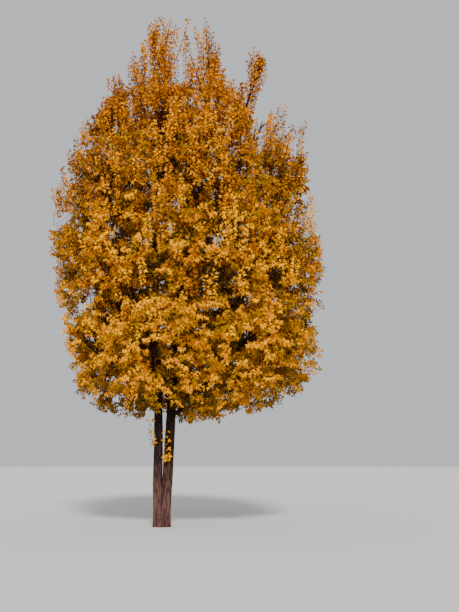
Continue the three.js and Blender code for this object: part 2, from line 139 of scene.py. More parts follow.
# Tiers of foliage: the size of each mass, how strongly its twigs turn upwards, and for each mass
# the azimuth it grows at and the height at which its bough leaves the stem
TIERS = [
    SimpleNamespace(
        tier="low", height=3.55, radius=1.4, half=1.28, lift=0.05,
        boughs=[(15, 2.42), (85, 2.8), (145, 2.95), (200, 2.5), (265, 2.75), (325, 2.62)],
    ),
    SimpleNamespace(
        tier="middle", height=5.55, radius=1.49, half=1.4, lift=0.15,
        boughs=[(0, 3.6), (55, 3.95), (118, 4.15), (180, 3.75), (238, 3.95), (302, 3.78)],
    ),
    SimpleNamespace(
        tier="high", height=7.45, radius=1.48, half=1.45, lift=0.3,
        boughs=[(4, 5.15), (75, 5.9), (145, 5.8), (215, 5.55), (286, 5.5)],
    ),
    SimpleNamespace(
        tier="upper", height=9.0, radius=1.17, half=1.4, lift=0.55,
        boughs=[(3, 6.3), (88, 7.6), (176, 7.5), (272, 7.25)],
    ),
]
# A slim plume that stands out of the crown, with a space of its own
SPIRE = SimpleNamespace(
    stem="right", root_height=7.0, middle=(2.11, 0.1, 10.35), radius=0.33, half=1.05, lift=0.7
)
# Masses on the tips of the two stems, and how far above the tip the middle of each one is
TOP_MASSES = [
    SimpleNamespace(stem="left", above=0.88, radius=0.8, half=1.4, lift=0.8),
    SimpleNamespace(stem="right", above=0.88, radius=0.86, half=1.4, lift=0.8),
]
CROWN_MIDDLE = np.array([0.5, 0.0, 0.0])
MASS_SEED = 11
MASS_PLACE = 0.58  # of the crown's reach, where the middle of a mass is
FRONT_OR_BACK = 0.1  # cosine of its azimuth, up to which a mass is in front or behind
HEIGHT_JITTER = 0.19
SIZE_JITTER = 0.07
LEAF_CLEARANCE = 0.003
CLEARANCE = 0.0003
REACH_LIMIT = 4  # half heights of a mass, within which its skin is looked for
REACH_HALVINGS = 14
SIDES_OF_THE_CROWN = [
    "right", "back_right", "back", "back_left", "left", "front_left", "front", "front_right",
]

# The axis and the side twigs of a mass, as in the model
AXIS_AIMS = (0.3, 0.35)  # outward and upward of its middle, in shares of its size
AXIS_HANDLES = (0.35, 0.75)
TWIG_PAIRS = 6
SPIRE_TWIG_PAIRS = 4
PAIR_STARTS = 0.12
PAIR_ENDS = 0.93
LAST_PAIR = 0.99
TWIG_SPREAD = 68
TWIG_SPREAD_AT_TIP = 40
TWIG_SPREAD_VARIES = 16
TWIG_TURN_VARIES = 0.5
MODEL_LEAF = 0.15  # a leaf's length in the model, where it stands for a spray
MODEL_LEAF_PER_RADIUS = 0.5
STEEP = 0.9  # upward share of a way, from which RIGHT and not UP gives its sides
TWIG_PARTS = ("start", "way", "length", "bend", "mass")

# Where the closed foliage ends on the middle plane: how far to the right, and the height. Above
# it there are only plumes. Towards the front and the back it comes lower.
CLOSED_TOP = np.array([
    (-2.6, 7.0), (-2.35, 8.0), (-2.15, 8.7), (-1.85, 9.35), (-1.55, 9.95), (-1.2, 10.3),
    (1.3, 10.4), (1.6, 10.1), (1.85, 9.7), (2.05, 9.25), (2.2, 9.1), (2.4, 9.4),
    (2.62, 9.5), (2.85, 9.25), (3.1, 9.2), (3.38, 8.5), (3.55, 7.8),
])
# The same for the tips of the plumes
PLUMES_TOP = np.array([
    (-2.7, 7.8), (-2.4, 8.7), (-2.1, 9.3), (-1.75, 9.9), (-1.45, 10.35), (-1.2, 10.75),
    (-0.7, 11.3), (-0.4, 12.05), (1.05, 12.05), (1.35, 11.2), (1.65, 10.7), (1.9, 10.0),
    (2.1, 9.45), (2.25, 9.4), (2.45, 9.65), (2.62, 9.85), (2.85, 9.55), (3.1, 9.6),
    (3.4, 9.0), (3.7, 8.2),
])
TOP_FALLS = 0.35  # of both, per metre to the front or the back

# Finer growth. Habits of the tiers: the share of the sprays that are plumes, how strongly
# branchlets turn up, how flat a spray lies, the space between pairs of leaves, a leaf's length,
# how strongly it hangs, and the tints of the sprays, from the most shaded to the most open
HABITS = {
    "low": SimpleNamespace(
        plumes=0.06, upturn=0.1, flat=0.8, leaf_step=0.036, leaf=0.082, hang=0.9,
        tints=["olive_dark", "olive", "olive", "gold", "gold", "gold_bright"],
    ),
    "middle": SimpleNamespace(
        plumes=0.28, upturn=0.3, flat=0.6, leaf_step=0.036, leaf=0.08, hang=0.8,
        tints=["olive_dark", "olive_dark", "olive", "gold_deep", "gold", "gold_bright"],
    ),
    "high": SimpleNamespace(
        plumes=0.45, upturn=0.9, flat=0.2, leaf_step=0.036, leaf=0.075, hang=0.7,
        tints=["brown_dark", "olive_dark", "amber", "olive", "gold_deep", "gold"],
    ),
    "upper": SimpleNamespace(
        plumes=0.7, upturn=1.2, flat=0, leaf_step=0.038, leaf=0.08, hang=0.6,
        tints=["brown_dark", "brown_dark", "amber", "amber", "gold_deep", "gold_deep"],
    ),
    "top": SimpleNamespace(
        plumes=0.85, upturn=1.3, flat=0, leaf_step=0.036, leaf=0.086, hang=0.5,
        tints=["brown_dark", "amber", "russet", "gold_deep", "gold_deep", "gold"],
    ),
}
# Wood: its radii at the root and at the tip, and the sides and the rings of its tubes
AXIS_WOOD = ((0.025, 0.006), 8, 14)
TWIG_WOOD = ((0.0105, 0.004), 5, 6)
SPRAY_TWIG_WOOD = ((0.0055, 0.0024), 4, 4)
PLUME_WOOD = ((0.0055, 0.0016), 4, 3)
BRANCHLET_WOOD = ((0.003, 0.0013), 3, 2)
SHOOT_WOOD = ((0.0095, 0.003), 6, 12)

CROWN_SEED = 5
FINER_TWIG_PAIRS = 6
MODEL_TWIG_LENGTH = 0.9  # of the room it has
FINER_TWIG_LENGTH = 0.85
AXIS_END = 0.8  # of a leaf of the model, how far the axis goes on
SHORTEST_TWIG = 0.25
TWIG_SAG = 0.06
SAG_ENDS = 0.6  # twice the lift with which twigs are straight

# Sprays stand all through the crown, and get scarce deep inside it
SPRAY_SPACING = 0.37
SPRAY_JITTER = 0.42
SPRAYS_GET_SCARCE = (0.7, 1.4)  # metres inside the crown
SCARCEST = 0.4
GAP_BELOW = -0.33  # where the patches fall below this, the crown is open
GAPS_SHIFTED = 7.7  # from the patches of light
# A place this far from the foliage's top or underside is as deep as one that far from its side
BELOW_TOP = 0.9
COUNTS_AS = 0.6
CROWN_EDGE = (0.1, 0.22)  # how far inside the outline a spray's twigs end
RAGGED = 1.1  # how much further, at most, by patches
RAGGED_AT_TOP = 0.5
RAGGED_HEIGHTS = (7.5, 9.5)
SPRAY_REACHES = (0.75, 1.5)  # how far a spray is from what it grows on, in two rounds
COST_ACROSS = 1.7  # of each metre across the wood. Along it, a metre costs 1 less
TOO_NEAR = 0.12
COST_TOO_NEAR = 10
SPRAY_TWIG_FOLLOWS = 0.6  # how strongly its root follows the wood it grows on
# Shares of the length of each kind of wood at which a spray's twig may grow
TWIG_CARRIES = np.linspace(0.25, 1, 7)
BOUGH_CARRIES = np.linspace(0.4, 1, 9)
AXIS_CARRIES = np.linspace(0.05, 1, 9)
SPRAY_TWIG_CARRIES = (0.5, 0.75, 1.0)
SPRAY_FORKS = [(0.09, 0.22), (0.24, 0.27)]  # pairs: how far before the tip, and how long
FIRST_FORK = 0.15  # of the twig's length, at least
SPRAY_TIP = 0.2
SPRAY_TIP_SIZES = (0.8, 1.2)
SPRAY_TIP_ROOT = 0.98
BRANCHLET_SPREAD = 52
BRANCHLET_SPREAD_VARIES = 8
BRANCHLET_TURN_VARIES = 0.4
BRANCHLET_SIZES = (0.75, 1.2)
BRANCHLET_UPTURN = 0.5  # of its habit's
BRANCHLET_SAG = 0.05
BARE_SHARE = 0.2  # of a branchlet, next to its twig
SHORTENED_TIMES = 6  # at most, where growth leaves the crown
SHORTENED_TO = 0.8
WORTH_HAVING = 0.45  # of its full length

# Plumes: upright shoots with their leaves close along them
PLUME_LENGTHS = (0.5, 1.05)
TOP_PLUME_LENGTH = 1.9
TOP_PLUME_SHARES = (0.5, 1.0)  # of the room up to the crown's outline
PLUME_LEANS = 0.16
PLUME_LEAN_VARIES = 0.8
PLUME_STEP = 0.05  # in which the room above it is measured
SHORTEST_PLUME = 0.1
PLUME_EDGE = 0.05  # how far inside the outline it ends
TOP_TWIG_BEND = 0.7
SLIM_TWIGS = 16  # on the end of the bough of a slim mass
SLIM_TWIG_SHARES = (0.5, 1.0)
SLIM_TWIG_LENGTHS = (0.45, 0.7)
SLIM_TWIG_SPREAD = 30
GOLDEN_ANGLE = math.radians(137.5)

# How lit a spray is painted, from 0 to 1, which gives its place in its tier's row of tints: painted
# shade deep inside, low down and at the sides
OPEN_LIGHT = 0.92  # of a spray at the outside of the crown
# Painted shade deep inside the crown, partly also the olive that inner leaves keep
DEPTH_SHADE = 0.4  # for each metre inside it
UNDERSIDE = (2.4, 3.2)  # heights between which sprays get out of the crown's own shade
UNDERSIDE_SHADE = 0.35
# Painted shade: sprays towards the crown's left and right sides get darker tints
TOWARDS_SIDES = (0.45, 0.95)  # shares of the crown's half width between which sprays get darker
SIDE_SHADE = 0.32
PATCH_SIZE = 0.8
PATCH_LIGHT = 0.36
PLUME_LIGHT = 0.15
TWIG_VARIES = 0.2
BRANCHLET_VARIES = 0.32
BRANCHLET_SHARE = 0.7  # how far a branchlet's own light counts, and not its twig's
LIT_AT = 0.6  # of a branchlet's length
LIGHTEST = 0.999

# Leaves: the stalk as a share of the leaf's length, and the outline of the right half, from its
# root to its tip, for a leaf 1 long
PETIOLE = 0.4
PETIOLE_RADIUS = 0.0012
PETIOLE_SPREAD = 60
PETIOLE_SPREAD_VARIES = 10
PETIOLE_TURN_VARIES = 0.5
FIRST_PAIR = 0.4  # of a step from where a branchlet's leaves begin
LEAF_OUTLINE = [(0.54, 0.36), (0.2, 0.46)]
LEAVES_WIDEN = (0.5, 1.2)  # metres inside the crown, where leaves turn into wider shade leaves
SHADE_LEAF = 1.4
LEAF_FOLD = 0.28  # how far the edges stand above the midrib, per distance from it
LEAF_DROOP = 0.16  # how far the tip falls
LEAF_SIZES = (0.75, 1.15)
LEAF_SHAKE = 0.25
HANG_VARIES = (0.5, 1.5)
LEAF_FACES = (0.6, 0.4, 0.8)  # outward, upward and any way

# Leafy shoots on the bare stems
SHOOTS = [
    SimpleNamespace(stem="left", height=1.72, azimuth=225, length=0.56, lean=0.17),
    SimpleNamespace(stem="right", height=1.4, azimuth=262, length=0.64, lean=0.14),
]
SHOOTS_SEED = 3
SHOOT_ROOT = 0.6  # of the stem's radius, from its middle
SHOOT_STANDS_OFF = 0.07
SHOOT_BEND = 0.06
SHOOT_LEAF_PAIRS = 12
SHOOT_LEAVES_FROM_TO = (0.3, 0.97)
SHOOT_LEAF = 0.1
SHOOT_LEAF_SIZES = (0.7, 1.1)
SHOOT_LEAF_HANG = 0.8

# Colours of the leaves, and the material slot each is a shade of. The lighter and darker ones are
# dealt to sprays partly as painted shade.
TINTS = {
    "gold_bright": ("#eaa400", "foliage_gold"),
    "gold": ("#dc9000", "foliage_gold"),
    "gold_deep": ("#ba7000", "foliage_amber"),
    "amber": ("#9d5d00", "foliage_amber"),
    "russet": ("#a85f1c", "foliage_russet"),
    "olive": ("#a07000", "foliage_gold"),
    "olive_dark": ("#7c5300", "foliage_gold"),
    "brown_dark": ("#784200", "foliage_amber"),
}
# Bark colours. Those of the furrows are partly the bark's own and partly painted shade where the
# bark sinks
BARK_RIDGE = "#3d261a"
BARK_FURROW = "#140b08"
BARK_FOOT = "#6e483f"
FOOT_FURROW = "#38231e"
TWIG_COLOUR = "#2c1c13"
TWIG_ROUGHNESS = 0.85
LEAF_ROUGHNESS = 0.8


# Small helpers

def unit(vectors):
    return vectors / np.linalg.norm(vectors, axis=-1, keepdims=True)


def mix(a, b, share):
    return a + (b - a) * share


def polar(azimuth):
    return np.array([math.cos(azimuth), math.sin(azimuth), 0.0])


def all_round(count):
    """Angles at equal steps round a circle."""
    return 2 * math.pi * np.arange(count) / count


def linear(colour):
    """A colour given as sRGB hex, as the linear one that a shader takes."""
    values = [int(colour[i : i + 2], 16) / 255 for i in (1, 3, 5)]
    return [v / 12.92 if v <= 0.04045 else ((v + 0.055) / 1.055) ** 2.4 for v in values] + [1.0]


def seeded(seed):
    """Numbers from 0 to 1, the same ones as in the model's source for the same seed."""
    whole = 0xFFFFFFFF
    state = seed

    def draw():
        nonlocal state
        state = (state + 0x6D2B79F5) & whole
        t = ((state ^ (state >> 15)) * (state | 1)) & whole
        t ^= (t + (t ^ (t >> 7)) * (t | 61)) & whole
        return ((t ^ (t >> 14)) & whole) / 2**32

    return draw


class Bezier:
    def __init__(self, *controls):
        self.controls = np.array(controls, float)

    def at(self, t):
        t = np.asarray(t, float)[..., None]
        a, b, c, d = self.controls
        return (1 - t) ** 3 * a + 3 * (1 - t) ** 2 * t * b + 3 * (1 - t) * t**2 * c + t**3 * d

    def way(self, t):
        t = np.asarray(t, float)[..., None]
        a, b, c, d = self.controls
        return unit((1 - t) ** 2 * (b - a) + 2 * (1 - t) * t * (c - b) + t**2 * (d - c))


# The skeleton, as in the model: stems, masses, boughs and side twigs

def stem_of(sizes):
    start = FORK_HEIGHT - STEM_FOOT_SUNK
    span = sizes.top - start
    curve = Bezier(
        (*sizes.foot, start),
        (*sizes.low, start + span / 3),
        (*sizes.high, start + span * 2 / 3),
        (*sizes.tip, sizes.top),
    )
    return SimpleNamespace(
        curve=curve,
        length=span,
        radius=lambda t: mix(sizes.radius, STEM_TIP_RADIUS, np.asarray(t) ** STEM_TAPER),
        share=lambda height: (height - start) / span,
    )


def crown_at(heights):
    """How far the crown reaches to the left, to the right and in depth at these heights."""
    return [np.interp(heights, CROWN_OUTLINE[:, 0], column) for column in CROWN_OUTLINE.T[1:]]


def mass_of(name, habit, stem, middle, sizes, outward, size=1, root_height=None, slim=False):
    """A mass of foliage, on a bough of its own or, with no root height, on its stem's tip."""
    return SimpleNamespace(
        node=f"foliage_{name}",
        bough=f"bough_{name}" if root_height else None,
        habit=habit,
        stem=stem,
        middle=middle,
        outward=outward,
        radius=sizes.radius * size,
        half=sizes.half * size,
        axes=np.array([sizes.radius, sizes.radius, sizes.half]) * size,
        lift=sizes.lift,
        leaf=MODEL_LEAF + MODEL_LEAF_PER_RADIUS * sizes.radius * size,
        root_height=root_height,
        pairs=SPIRE_TWIG_PAIRS if slim else TWIG_PAIRS,
        slim=slim,
    )


def masses_of(stems):
    draw = seeded(MASS_SEED)
    masses = []
    for tier in TIERS:
        left, right, depth = crown_at(tier.height)
        for azimuth, root_height in tier.boughs:
            size = 1 + SIZE_JITTER * (2 * draw() - 1)
            raised = HEIGHT_JITTER * (2 * draw() - 1)
            outward = polar(math.radians(azimuth))
            c, s, _ = outward
            across = MASS_PLACE * (right if c > 0 else -left)
            side = SIDES_OF_THE_CROWN[int(azimuth / 45 + 0.5) % 8]
            on_left = c < -FRONT_OR_BACK or (c <= FRONT_OR_BACK and s < 0)
            masses.append(mass_of(
                f"{tier.tier}_{side}", tier.tier, "left" if on_left else "right",
                np.array([across * c, MASS_PLACE * depth * s, tier.height + raised]),
                tier, outward, size, root_height,
            ))
    spire = np.array(SPIRE.middle)
    masses.append(mass_of(
        "spire", "top", SPIRE.stem, spire, SPIRE, RIGHT, root_height=SPIRE.root_height, slim=True
    ))
    for top in TOP_MASSES:
        middle = stems[top.stem].curve.at(1) + UP * top.above
        outward = -RIGHT if top.stem == "left" else RIGHT
        masses.append(mass_of(f"top_{top.stem}", "top", top.stem, middle, top, outward))
    for number, mass in enumerate(masses):
        mass.number = number
    return masses


def depth_in_outline(points):
    """How far points are inside the crown's outline. Negative outside."""
    heights = points[..., 2]
    left, right, depth = crown_at(heights)
    half = (right - left) / 2
    across = (points[..., 0] - left) / half - 1
    inside = (1 - np.hypot(across, points[..., 1] / depth)) * np.minimum(half, depth)
    within = (heights > CROWN_OUTLINE[0, 0]) & (heights < CROWN_OUTLINE[-1, 0])
    return np.where(within, inside, -1.0)


def under_top(points, contour):
    """How far points are below a contour of the crown's top. Negative above it."""
    top = np.interp(points[:, 0], contour[:, 0], contour[:, 1])
    return top - TOP_FALLS * np.abs(points[:, 1]) - points[:, 2]


def closed_depth(points):
    """How far points are inside the closed foliage, which ends below the crown's top."""
    return np.minimum(depth_in_outline(points), under_top(points, CLOSED_TOP))


def depth_in_ellipsoid(points, mass):
    return (1 - np.linalg.norm((points - mass.middle) / mass.axes, axis=-1)) * mass.radius


def plumes_depth(points, masses):
    """How far points are inside the crown, or inside a slim mass that stands out of it."""
    deepest = np.minimum(depth_in_outline(points), under_top(points, PLUMES_TOP))
    slim = [depth_in_ellipsoid(points, mass) for mass in masses if mass.slim]
    return np.max([deepest, *slim], axis=0)


def depth_in_space(points, mass, masses):
    """How far points are inside the space of a mass: the part of the crown that lies nearer to
    it than to the others. A slim mass keeps to an ellipsoid instead."""
    depth = depth_in_ellipsoid(points, mass) if mass.slim else depth_in_outline(points)
    for other in masses:
        if other is mass:
            continue
        apart = other.middle - mass.middle
        distance = np.linalg.norm(apart)
        share = distance**2 + mass.radius**2 - other.radius**2
        wall = share / (2 * distance) - (points - mass.middle) @ apart / distance
        depth = np.minimum(depth, wall - LEAF_CLEARANCE)
    return depth


def reach_in(points, ways, mass, masses):
    """How far each point is from the skin of a mass's space, going one way."""
    points = np.atleast_2d(points)
    near = np.zeros(len(points))
    far = near + REACH_LIMIT * mass.half
    for _ in range(REACH_HALVINGS):
        middle = (near + far) / 2
        inside = depth_in_space(points + ways * middle[:, None], mass, masses) > 0
        near = np.where(inside, middle, near)
        far = np.where(inside, far, middle)
    return near


def bough_of(mass, stems, masses):
    stem = stems[mass.stem]
    root_share = stem.share(mass.root_height)
    root = stem.curve.at(root_share)
    back = unit(root - mass.middle)
    inside = reach_in(mass.middle, back, mass, masses)[0]
    round_reach = 1 / np.linalg.norm(back / mass.axes)
    tip = mass.middle + back * BOUGH_ENTRY * min(inside, round_reach)
    length = float(np.linalg.norm(tip - root))
    straight = unit(tip - root)
    leaving = unit(straight + BOUGH_LEAVES_OUTWARD * mass.outward)
    arriving = unit(straight + BOUGH_ARRIVES_UPWARD * UP)
    near, far = BOUGH_HANDLES
    curve = Bezier(root, root + leaving * length * near, tip - arriving * length * far, tip)
    thick = BOUGH_RADIUS + BOUGH_RADIUS_PER_METRE * length
    thick = min(thick, BOUGH_OF_STEM * stem.radius(root_share))

    def radius(t):
        collar = 1 + COLLAR * np.exp(-t * length / COLLAR_LENGTH)
        return thick * mix(1, BOUGH_TIP_SHARE, t) * collar

    return SimpleNamespace(curve=curve, length=length, radius=radius)


def axis_of(mass, masses):
    """The middle twig of a mass, which runs on from its limb's tip to near the far skin."""
    way = mass.limb.curve.way(1)
    start = mass.limb.curve.at(1) + way * CLEARANCE
    outward, upward = AXIS_AIMS
    aim = mass.middle + outward * mass.radius * mass.outward + upward * mass.half * UP
    aim = unit(aim - start)
    length = max(reach_in(start, aim, mass, masses)[0] - mass.leaf, mass.leaf)
    near, far = AXIS_HANDLES
    curve = Bezier(
        start, start + way * length * near, start + aim * length * far, start + aim * length
    )
    return SimpleNamespace(curve=curve, aim=aim)


def branching(along, turn, spread):
    """Ways that leave along by spread degrees, towards the side of it that turn says."""
    spread = np.radians(spread)[..., None]
    turn = np.asarray(turn)[..., None]
    level = unit(np.cross(np.where(np.abs(along[..., 2:]) >= STEEP, RIGHT, UP), along))
    side = level * np.cos(turn) + np.cross(along, level) * np.sin(turn)
    return unit(along * np.cos(spread) + side * np.sin(spread))


class Twigs:
    """Many twigs at once: where each starts, its way and length, how it bends, and its mass."""

    def __init__(self, start, way, length, bend, mass):
        self.start, self.way, self.length = start, way, length
        self.bend, self.mass = bend, mass

    def __len__(self):
        return len(self.length)

    def pick(self, which):
        return Twigs(*[getattr(self, part)[which] for part in TWIG_PARTS])

    def at(self, share):
        share = np.asarray(share)[..., None]
        run = self.way * share + self.bend * share**2
        return self.start + run * self.length[:, None]

    def way_at(self, share):
        return unit(self.way + 2 * self.bend * np.asarray(share)[..., None])


def joined(groups):
    return Twigs(*[np.concatenate([getattr(g, part) for g in groups]) for part in TWIG_PARTS])


def side_twigs(mass, masses, draw, pairs, shift):
    """Pairs of twigs along the axis of a mass: their roots, their ways and the room each has."""
    starts, ways = [], []
    for pair in range(pairs):
        t = mix(PAIR_STARTS, PAIR_ENDS, pair / (pairs - 1))
        t = min(t + shift * (PAIR_ENDS - PAIR_STARTS) / (pairs - 1), LAST_PAIR)
        along = mass.axis.curve.way(t)
        for side in (0, math.pi):
            turn = side + (pair + shift) * math.pi / 2 + TWIG_TURN_VARIES * (draw() - 0.5)
            spread = mix(TWIG_SPREAD, TWIG_SPREAD_AT_TIP, t) + TWIG_SPREAD_VARIES * (draw() - 0.5)
            draw()  # the model takes one more here, for how long its twig is
            starts.append(mass.axis.curve.at(t))
            ways.append(unit(branching(along, turn, spread) + mass.lift * UP))
    starts, ways = np.array(starts), np.array(ways)
    return starts, ways, reach_in(starts, ways, mass, masses)


# Meshes

class Skin:
    """Points and triangles that are gathered into one mesh."""

    def __init__(self):
        self.points, self.faces, self.furrows = [], [], []
        self.count = 0

    def add(self, points, faces, furrows=None):
        self.points.append(points.reshape(-1, 3))
        self.faces.append(faces.reshape(-1, 3) + self.count)
        if furrows is not None:
            self.furrows.append(furrows.ravel())
        self.count += len(self.points[-1])


def placed(name, data):
    """An object with this data, in the scene."""
    thing = bpy.data.objects.new(name, data)
    bpy.context.scene.collection.objects.link(thing)
    return thing


def piece_of(name, skin, material, nodes, smooth=True):
    """A piece of the tree, which rides on the root and stands for these CAD nodes."""
    points = np.concatenate(skin.points).astype(np.float32)
    faces = np.concatenate(skin.faces).astype(np.int32)
    mesh = bpy.data.meshes.new(name)
    mesh.vertices.add(len(points))
    mesh.vertices.foreach_set("co", points.ravel())
    mesh.loops.add(faces.size)
    mesh.loops.foreach_set("vertex_index", faces.ravel())
    mesh.polygons.add(len(faces))
    mesh.polygons.foreach_set("loop_start", np.arange(0, faces.size, 3, dtype=np.int32))
    mesh.polygons.foreach_set("use_smooth", np.full(len(faces), smooth))
    if skin.furrows:
        layer = mesh.attributes.new("furrow", "FLOAT", "POINT")
        layer.data.foreach_set("value", np.concatenate(skin.furrows).astype(np.float32))
    mesh.update(calc_edges=True)
    mesh.materials.append(material)
    piece = placed(name, mesh)
    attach(piece, "root")
    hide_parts(*nodes)


def grid_faces(rings, sides, closed_root=False):
    """Triangles of one tube of rings, which is closed at its tip."""
    ring, side = np.meshgrid(np.arange(rings - 1), np.arange(sides), indexing="ij")
    a = ring * sides + side
    b = ring * sides + (side + 1) % sides
    quads = [np.stack([a, b, b + sides], -1), np.stack([a, b + sides, a + sides], -1)]
    faces = [q.reshape(-1, 3) for q in quads]
    fan = np.arange(1, sides - 1)
    last = (rings - 1) * sides
    faces.append(np.stack([fan * 0 + last, last + fan, last + fan + 1], -1))
    if closed_root:
        faces.append(np.stack([fan * 0, fan + 1, fan], -1))
    return np.concatenate(faces)


def circles_round(paths, radii, sides):
    """Rings of points round many paths, and the directions from the path to them."""
    ways = unit(np.gradient(paths, axis=1))
    furthest = np.abs(ways).max(axis=1).argmin(axis=1)
    reference = np.eye(3)[furthest][:, None, :]
    across = unit(np.cross(reference, ways))
    other = np.cross(ways, across)
    angles = all_round(sides)
    out = (
        across[:, :, None, :] * np.cos(angles)[:, None]
        + other[:, :, None, :] * np.sin(angles)[:, None]
    )
    return paths[:, :, None, :] + out * radii[:, :, None, None], out


def add_wood(skin, grown, wood):
    """Tapering tubes along a curve, or along many twigs."""
    (root, tip), sides, rings = wood
    shares = np.linspace(0, 1, rings)
    paths = np.stack([np.atleast_2d(grown.at(share)) for share in shares], axis=1)
    radii = np.broadcast_to(mix(root, tip, shares), paths.shape[:2])
    points, _ = circles_round(paths, radii, sides)
    starts = np.arange(len(paths)) * rings * sides
    skin.add(points, grid_faces(rings, sides) + starts[:, None, None])


# Bark

FURROW_WIDTH = 0.034  # across the grain, from one furrow to the next
FURROW_LENGTH = 0.3
FURROW_SHARPNESS = 3.6
FINE_SCALE = 2.3
FINE_SHIFT = 5.1
FINE_SHARE = 0.25
FIELD_SHIFT = 17.3  # from one seed's field to the next
FEWEST_RINGS = 8
STEM_FURROW_DEPTH = 0.08  # of the radius
RIDGES_STAND_OUT = 0.07
FOOT_FURROW_DEPTH = 0.011
FOOT_ROUGH_HEIGHT = 0.55  # below this the bark is rougher
FOOT_ROUGHER = 0.5
FOOT_FADES = (1.45, 0.55)  # heights between which the bark gets lighter towards the foot
# Deep seams of the foot, sunk in and painted darker, partly as painted shade in the crease: x, the
# heights it runs between, and how wide it is
SEAMS = [(0.015, 0.42, 1.2, 0.016), (-0.115, -0.3, 0.42, 0.011), (0.09, -0.3, 0.25, 0.01)]
SEAM_DEPTH = 0.02
SEAM_DARK = 1.6
SEAM_FADES = 0.15  # metres at both of its ends
SEAM_WANDERS = 0.012
SEAM_WAVES = 9
SEAM_PHASE = 40


def furrow_field(points, seed):
    """How furrowed the bark is at points whose Z runs along the grain: about 1 in the middle of a
    furrow and about 0 on a ridge. The bark sinks with it and is painted darker, partly its own
    colour and partly painted shade."""
    cell = np.array([FURROW_WIDTH, FURROW_WIDTH, FURROW_LENGTH])
    places = points / cell + seed * FIELD_SHIFT
    values = np.empty(len(places))
    for i, place in enumerate(places):
        coarse = noise.noise(Vector(place))
        fine = noise.noise(Vector(place * FINE_SCALE + FINE_SHIFT))
        line = 1 - FURROW_SHARPNESS * abs(coarse + FINE_SHARE * fine)
        values[i] = max(line, 0.0) + FINE_SHARE * fine
    return values


def foot_skin():
    heights = np.linspace(0, CROTCH_HEIGHT, FOOT_RINGS)
    angles = all_round(FOOT_SIDES)
    spread = np.exp(-heights / FLARE_HEIGHT)
    web = np.clip((CROTCH_HEIGHT - heights) / (CROTCH_HEIGHT - FORK_HEIGHT), 0, 1)
    tuck = 1 - CROTCH_TUCK * (1 - web)
    rise = np.minimum(heights / FORK_HEIGHT, 1)
    wide = (mix(FOOT_HALF_WIDTH, FORK_HALF_WIDTH, rise) + FLARE * spread) * tuck
    waist = mix(FOOT_WAIST, FORK_WAIST, rise) * web + FLARE * spread
    toes = 1 + TOE_SIZE * spread[:, None] * np.cos(ROOT_TOES * angles + TOES_TURNED)
    reach = np.hypot(wide[:, None] * np.cos(angles), waist[:, None] * np.sin(angles)) * toes
    out = np.stack([np.cos(angles), np.sin(angles), 0 * angles], -1)
    points = reach[..., None] * out + heights[:, None, None] * UP
    furrows = furrow_field(points.reshape(-1, 3), 1).reshape(FOOT_RINGS, FOOT_SIDES)
    seam = np.zeros_like(furrows)
    for x, low, high, width in SEAMS:
        wander = SEAM_WANDERS * np.sin(heights * SEAM_WAVES + SEAM_PHASE * x)[:, None]
        near = np.exp(-(((points[..., 0] - x - wander) / width) ** 2))
        runs = np.clip(np.minimum(heights - low, high - heights) / SEAM_FADES, 0, 1)
        seam = np.maximum(seam, near * runs[:, None])
    # Seams count as deep furrows: sunk in and painted darker, partly as painted shade
    furrows = np.maximum(furrows, SEAM_DARK * seam)
    rough = 1 + FOOT_ROUGHER * np.clip(1 - heights / FOOT_ROUGH_HEIGHT, 0, 1)
    room = np.clip(reach / FOOT_HALF_WIDTH, 0, 1)
    depth = FOOT_FURROW_DEPTH * furrows * rough[:, None] + SEAM_DEPTH * seam
    points = points - out * (depth * room)[..., None]
    points[..., 0] += FORK_SHIFT * rise[:, None]
    skin = Skin()
    skin.add(points, grid_faces(FOOT_RINGS, FOOT_SIDES, closed_root=True), furrows)
    return skin


def limb_skin(skin, limb, sides, ring_step, upright, seed):
    """Adds a limb with furrowed bark. The bark of an upright one follows the world's Z."""
    rings = max(int(limb.length / ring_step), FEWEST_RINGS)
    shares = np.linspace(0, 1, rings)
    radii = limb.radius(shares)
    (points,), (out,) = circles_round(limb.curve.at(shares)[None], radii[None], sides)
    places = points
    if not upright:
        angles = all_round(sides)
        across = [radii[:, None] * np.cos(angles), radii[:, None] * np.sin(angles)]
        along = np.broadcast_to((shares * limb.length)[:, None], (rings, sides))
        places = np.stack([*across, along], -1)
    furrows = furrow_field(places.reshape(-1, 3), seed).reshape(rings, sides)
    rise = radii[:, None] * (RIDGES_STAND_OUT - STEM_FURROW_DEPTH * furrows)
    skin.add(points + out * rise[..., None], grid_faces(rings, sides), furrows)


# Materials

BARK_ROUGHNESS = 0.9
BARK_SPECULAR = 0.2
GRAIN_STRETCH = (1, 1, 0.25)
FINE_GRAIN = {"Scale": 38, "Detail": 6, "Roughness": 0.65}
BARK_PATCHES = {"Scale": 3.5, "Detail": 3}
# Furrows are painted darker, partly the bark's own colour and partly painted shade where the bark
# sinks
FURROWS_DARKEN = 1.1
DARK_BETWEEN = (0.75, 1.6)
BARK_BUMP = {"Strength": 0.6, "Distance": 0.006}


def new_material(name, roughness, specular):
    material = bpy.data.materials.new(name)
    material.use_nodes = True
    shader = material.node_tree.nodes["Principled BSDF"]
    shader.inputs["Roughness"].default_value = roughness
    shader.inputs["Specular IOR Level"].default_value = specular
    return material, shader


def plain_material(name, colour, roughness):
    material, shader = new_material(name, roughness, 0)
    shader.inputs["Base Color"].default_value = linear(colour)
    return material


